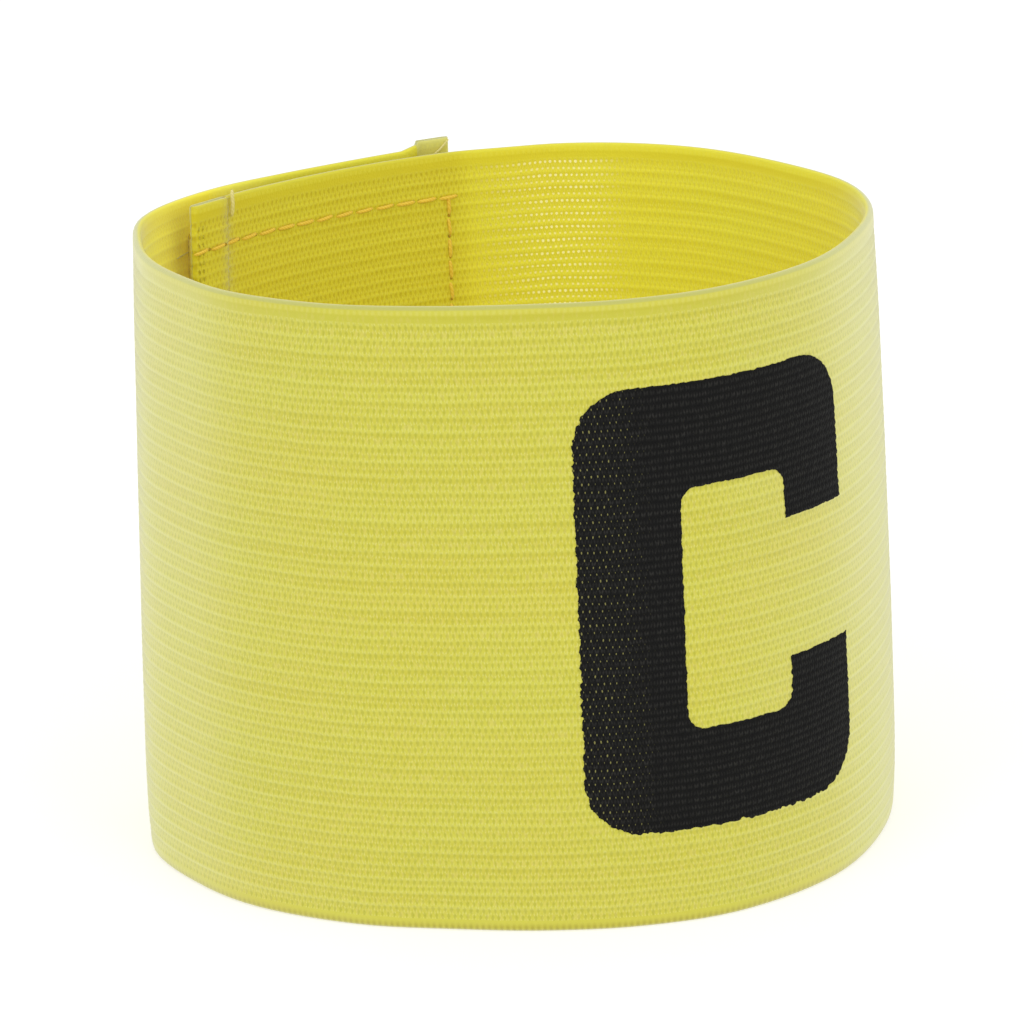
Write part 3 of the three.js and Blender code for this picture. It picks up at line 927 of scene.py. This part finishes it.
def spaced_copies(name, material):
    """A tree that sets a shape at even steps along a path, turned with the path."""
    made, given = new_tree(name, [("Shape", "NodeSocketObject"), ("Pitch", "NodeSocketFloat"),
                                  ("Turn", "NodeSocketFloat"), ("Size Change", "NodeSocketFloat")])
    path = put(made, "GeometryNodeMeshToCurve", {0: given["Geometry"]})
    spaced = put(made, "GeometryNodeResampleCurve", {"Curve": path.outputs[0], "Length": given["Pitch"]},
                 mode="LENGTH")
    shape = put(made, "GeometryNodeObjectInfo", {"Object": given["Shape"]})
    upright = put(made, "FunctionNodeAxesToRotation", {
        "Primary Axis": named_value(made, "facing", "FLOAT_VECTOR"),
        "Secondary Axis": put(made, "GeometryNodeInputTangent").outputs[0]},
        primary_axis="Z", secondary_axis="X")
    luck = put(made, "FunctionNodeRandomValue", {2: -0.06, 3: 0.06, "Seed": 3}, data_type="FLOAT")
    turned = put(made, "ShaderNodeCombineXYZ", {2: maths(made, "ADD", luck.outputs[1], given["Turn"])})
    spin = put(made, "FunctionNodeEulerToRotation", {0: turned.outputs[0]})
    placed = put(made, "FunctionNodeRotateRotation", {0: upright.outputs[0], 1: spin.outputs[0]},
                 rotation_space="LOCAL")
    growth = put(made, "FunctionNodeRandomValue", {2: -1.0, 3: 1.0, "Seed": 8}, data_type="FLOAT")
    scale = maths(made, "MULTIPLY_ADD", growth.outputs[1], given["Size Change"], 1.0)
    copies = put(made, "GeometryNodeInstanceOnPoints", {
        "Points": spaced.outputs[0], "Instance": shape.outputs["Geometry"],
        "Rotation": placed.outputs[0], "Scale": scale})
    end_tree(made, copies.outputs[0], material)
    return made


def path_object(name, runs):
    """Open lines on the cloth. Each is a list of (along, height, depth, rise, facing)."""
    points, edges, facing = [], [], []
    for run in runs:
        along, height, depth, rise, look = (np.array(each, dtype=float) for each in zip(*run))
        place, outward = wall(along, height, depth, rise)
        edges += [(len(points) + step, len(points) + step + 1) for step in range(len(place) - 1)]
        points += list(place)
        facing += list(outward * look[:, None])
    mesh = bpy.data.meshes.new(name)
    mesh.from_pydata([tuple(map(float, point)) for point in points], edges, [])
    made = add_object(name, mesh)
    point_values(made, "facing", "FLOAT_VECTOR", facing)
    return made


def copies_along(name, runs, shape, tree, pitch, turn=0.0, change=0.05):
    worked = path_object(name + "_path", runs)
    run_tree(worked, tree, {"Shape": shape, "Pitch": pitch, "Turn": turn, "Size Change": change})
    made = as_piece(worked, name)
    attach(made, "root")
    return made


def straight_run(start, end, depth_at, facing, spacing=0.0012):
    """A line on the cloth from one (along, height) to another."""
    count = max(2, math.ceil(math.dist(start, end) / spacing) + 1)
    run = []
    for along, height in np.linspace(start, end, count):
        depth, rise = depth_at(along)
        run.append((along, height, depth, rise, facing))
    return run


def inner_layer_face(along):
    """Depth of the inner end's inner face, which is doubled over its hem."""
    doubled = along < inner_hem + hem_step / 2
    return hem_thickness if doubled else elastic_thickness, 0.0


def outer_layer_face(along):
    from_end = strip_length - along
    rise = float(np.interp(from_end, [outer_hem, outer_hem + hem_step], [outer_hem_rise, 0]))
    return 0.0, rise


def late_start(run, by):
    """The same line, starting a little further on."""
    start, end = np.array(run[0][:2]), np.array(run[-1][:2])
    moved = start + (end - start) * by / np.linalg.norm(end - start)
    step_count = len(run)
    places = [moved + (end - moved) * step / (step_count - 1) for step in range(step_count)]
    return [(*place, *each[2:]) for place, each in zip(places, run)]


def rectangle(start, end, depth_at, facing):
    low, high = seam_inset, band_height - seam_inset
    return [straight_run((start, high), (end, high), depth_at, facing),
            straight_run((end, high - corner_room), (end, low + corner_room), depth_at, facing),
            straight_run((end, low), (start, low), depth_at, facing)]


inner_seam = rectangle(0.0011, loop_tape_inset + loop_tape_length - seam_end_inset,
                       inner_layer_face, -1)
seam_start = hook_tape_to - seam_end_inset
outer_seam = rectangle(seam_start, hook_tape_to - hook_tape_length + seam_end_inset,
                       outer_layer_face, 1)
outer_seam.append(straight_run((seam_start, band_height - seam_inset - corner_room),
                               (seam_start, seam_inset + corner_room), outer_layer_face, 1))
orange_thread = thread_material("orange sewing thread",
                                linear(250, 218, 92), linear(232, 190, 48), 0.6)
# Painted shade: the needle holes are coloured dark brown for the shade in their mouths
needle_hole_shade = thread_material("shadowed needle hole",
                              linear(196, 160, 34), linear(168, 132, 22), 0.9)
stitch = stitch_shape("stitch", stitch_length, stitch_width, stitch_height)
puncture = hole_shape("puncture", needle_hole)
stitch_tree = spaced_copies("Stitches", orange_thread)
puncture_tree = spaced_copies("Needle holes", needle_hole_shade)
seam_pieces = []
for place_name, runs in (("inner", inner_seam), ("outer", outer_seam)):
    seam_pieces.append(copies_along(
        "seam_" + place_name, runs, stitch, stitch_tree, stitch_pitch, seam_tilt))
    between = [late_start(run, stitch_pitch / 2) for run in runs]
    seam_pieces.append(copies_along(
        "needle_holes_" + place_name, between, puncture, puncture_tree, stitch_pitch))

# The inner hem is closed by two rows of short dark stitches beside its fold, and pale
# ends of thread stand at the raw edge and lie across the tab of the outer end
hem_rows = [0.0007, 0.0015]
hem_margin = 0.0035
dash_pitch = 0.0013
dash = stitch_shape("dash", 0.0007, 0.00020, 0.00008)
hem_thread = thread_material("dark hem thread", linear(216, 206, 72), linear(188, 176, 54), 0.85)
hem_runs = [straight_run((place, band_height - hem_margin), (place, hem_margin),
                         inner_layer_face, -1) for place in hem_rows]
dash_tree = spaced_copies("Hem stitches", hem_thread)
seam_pieces.append(copies_along("hem_stitches", hem_runs, dash, dash_tree, dash_pitch))

pale_thread = thread_material("pale thread end", linear(240, 230, 160), linear(222, 210, 126), 0.8)


def loose_thread(name, route, radius):
    """A short end of thread lying over the cloth: route is (along, height, depth, rise)."""
    along, height, depth, rise = (np.array(each, dtype=float) for each in zip(*route))
    points, _ = wall(along, height, depth, rise)
    knots = np.linspace(0, 1, len(points))
    fine = np.linspace(0, 1, 5 * len(points))
    points = np.column_stack([np.interp(fine, knots, points[:, axis]) for axis in range(3)])
    radii = radius * np.interp(fine, [0, 0.1, 0.85, 1], [0.6, 1, 1, 0.45])
    made = new_object(name, *tube(points, radii, 6, normal=(0.3, 1, 0.2)), pale_thread)
    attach(made, "root")
    return made


raw_edge = inner_hem + 0.0006
tab_end = strip_length - 0.0004
tab_face = elastic_thickness + 0.0009
seam_pieces += [
    loose_thread("thread_end_rim", [
        (raw_edge, band_height - 0.0030, hem_thickness + 0.0001, 0),
        (raw_edge + 0.0001, band_height - 0.0012, hem_thickness + 0.0003, 0),
        (raw_edge + 0.0003, band_height + 0.0001, hem_thickness, 0),
        (raw_edge + 0.0007, band_height + 0.0009, hem_thickness - 0.0004, 0)], 0.00030),
    loose_thread("thread_end_tab", [
        (tab_end - 0.0026, band_height - 0.0022, tab_face, outer_hem_rise),
        (tab_end - 0.0016, band_height - 0.0016, tab_face, outer_hem_rise),
        (tab_end - 0.0008, band_height - 0.0009, tab_face, outer_hem_rise),
        (tab_end, band_height - 0.0002, tab_face, outer_hem_rise)], 0.00016),
    loose_thread("thread_end_inside", [
        (strip_length - 0.0490, 0.0820, elastic_thickness + 0.0001, 0),
        (strip_length - 0.0505, 0.0818, elastic_thickness + 0.0003, 0),
        (strip_length - 0.0520, 0.0815, elastic_thickness + 0.0002, 0),
        (strip_length - 0.0535, 0.0813, elastic_thickness + 0.0001, 0)], 0.00014)]
for shape in (stitch, puncture, dash):
    bpy.data.objects.remove(shape)


# Floor and light
# A white sweep under the armband and large soft lights, as in a product picture.
floor_material, tree = new_material("white sweep")
sweep_place = put(tree, "ShaderNodeTexCoord")
sweep_noise = put(tree, "ShaderNodeTexNoise", {
    "Vector": sweep_place.outputs["Object"], "Scale": 40})
sweep_colour = blend_colour(tree, sweep_noise.outputs[0],
                            linear(209, 209, 209), linear(213, 213, 213))
finish_material(tree, {
    "Base Color": sweep_colour, "Roughness": 0.9, "Specular IOR Level": 0.1,
    "Emission Color": (1, 1, 1, 1), "Emission Strength": 0.48})
reach = 6.0
sweep_corners = [(-reach, -reach, 0), (reach, -reach, 0), (reach, reach, 0), (-reach, reach, 0)]
floor = new_object("white_sweep", sweep_corners, [(0, 1, 2, 3)], floor_material)

world = bpy.data.worlds.new("studio")
bpy.context.scene.world = world
world.use_nodes = True
sky = world.node_tree.nodes["Background"]
sky.inputs["Color"].default_value = (1, 1, 1, 1)
sky.inputs["Strength"].default_value = 0.8


def soft_light(name, place, target, size, power):
    data = bpy.data.lights.new(name, "AREA")
    data.shape = "SQUARE"
    data.size = size
    data.energy = power
    made = add_object(name, data)
    made.location = place
    made.rotation_mode = "QUATERNION"
    made.rotation_quaternion = (Vector(target) - Vector(place)).to_track_quat("-Z", "Y")


soft_light("key", (-0.9, -0.9, 1.0), (0, 0, 0.04), 0.8, 4)
soft_light("fill", (0.9, -0.8, 1.1), (0, 0, 0.04), 0.9, 4)
bpy.context.scene.view_settings.view_transform = "Standard"
